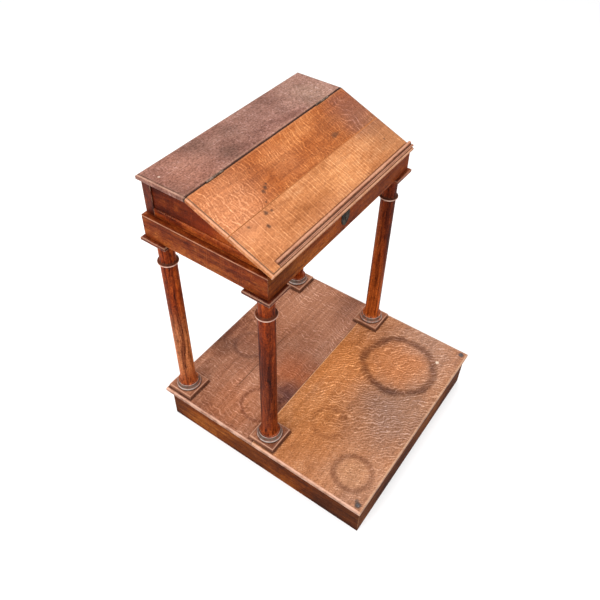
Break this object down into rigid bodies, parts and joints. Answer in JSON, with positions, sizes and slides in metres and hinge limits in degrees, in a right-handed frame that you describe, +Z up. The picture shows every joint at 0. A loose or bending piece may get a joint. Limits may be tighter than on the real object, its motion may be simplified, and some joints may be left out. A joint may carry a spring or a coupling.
{
  "type": "slope-top reading stand",
  "caption": "Oak slope-top stand for an open album: hinged desk lid with a book rest over a shallow well, on turned columns and a box base.",
  "frame": {"origin": "on the floor, under the middle of the base", "axes": "+Z up; +Y towards the back, where the flat shelf is; +X to the right of somebody standing at the front"},
  "size_m": [0.67, 0.694, 0.9015],
  "materials": {
    "lid_oak": "waxed",
    "shelf_oak": "waxed, worn",
    "base_top_oak": "waxed, worn",
    "column_oak": "polished",
    "frame_oak": "polished",
    "secondary_wood": "unfinished",
    "hinge_brass": "tarnished",
    "screw_steel": "tarnished",
    "lock_steel": "satin",
    "escutcheon_metal": "dark patina"
  },
  "bodies": {
    "stand": {"apron_corner_blocks": "secondary_wood", "apron_rail_back": "frame_oak", "apron_rail_front": "frame_oak", "apron_rail_left": "frame_oak", "apron_rail_right": "frame_oak", "base_batten_left": "secondary_wood", "base_batten_right": "secondary_wood", "base_board_back": "shelf_oak", "base_board_front": "base_top_oak", "base_board_screws": "screw_steel", "base_rail_back": "frame_oak", "base_rail_front": "frame_oak", "base_rail_left": "frame_oak", "base_rail_right": "frame_oak", "batten_screws": "screw_steel", "case_back": "frame_oak", "column_abacus_back_left": "column_oak", "column_abacus_back_right": "column_oak", "column_abacus_front_left": "column_oak", "column_abacus_front_right": "column_oak", "column_plinth_back_left": "column_oak", "column_plinth_back_right": "column_oak", "column_plinth_front_left": "column_oak", "column_plinth_front_right": "column_oak", "column_shaft_back_left": "column_oak", "column_shaft_back_right": "column_oak", "column_shaft_front_left": "column_oak", "column_shaft_front_right": "column_oak", "desk_floor": "secondary_wood", "desk_floor_cleats": "secondary_wood", "escutcheon": "escutcheon_metal", "escutcheon_pins": "escutcheon_metal", "gable_board_left": "frame_oak", "gable_board_right": "frame_oak", "gable_rail_left": "frame_oak", "gable_rail_right": "frame_oak", "gable_stile_left": "frame_oak", "gable_stile_right": "frame_oak", "hinge_leaf_shelf_left": "hinge_brass", "hinge_leaf_shelf_right": "hinge_brass", "hinge_pin_left": "hinge_brass", "hinge_pin_right": "hinge_brass", "hinge_shelf_screws": "hinge_brass", "lock_case": "lock_steel", "lock_key_post": "lock_steel", "lock_screws": "screw_steel", "lock_selvedge": "lock_steel", "top_shelf": "shelf_oak"},
    "lid": {"book_rest": "lid_oak", "hinge_leaf_lid_left": "hinge_brass", "hinge_leaf_lid_right": "hinge_brass", "hinge_lid_screws": "hinge_brass", "keeper_screws": "screw_steel", "lid_board_lower": "lid_oak", "lid_board_upper": "lid_oak", "lock_keeper": "lock_steel"},
    "lock_bolt": {"lock_bolt": "lock_steel"}
  },
  "joints": [
    {"name": "lid_hinge", "type": "hinge", "parent": "stand", "child": "lid", "pos_m": [0, 0.182, 0.8988], "axis": [-1, 0, 0], "range_deg": [0, 200]},
    {"name": "lock_bolt_slide", "type": "slide", "parent": "stand", "child": "lock_bolt", "axis": [0, 0, 1], "range_m": [0, 0.01]}
  ]
}
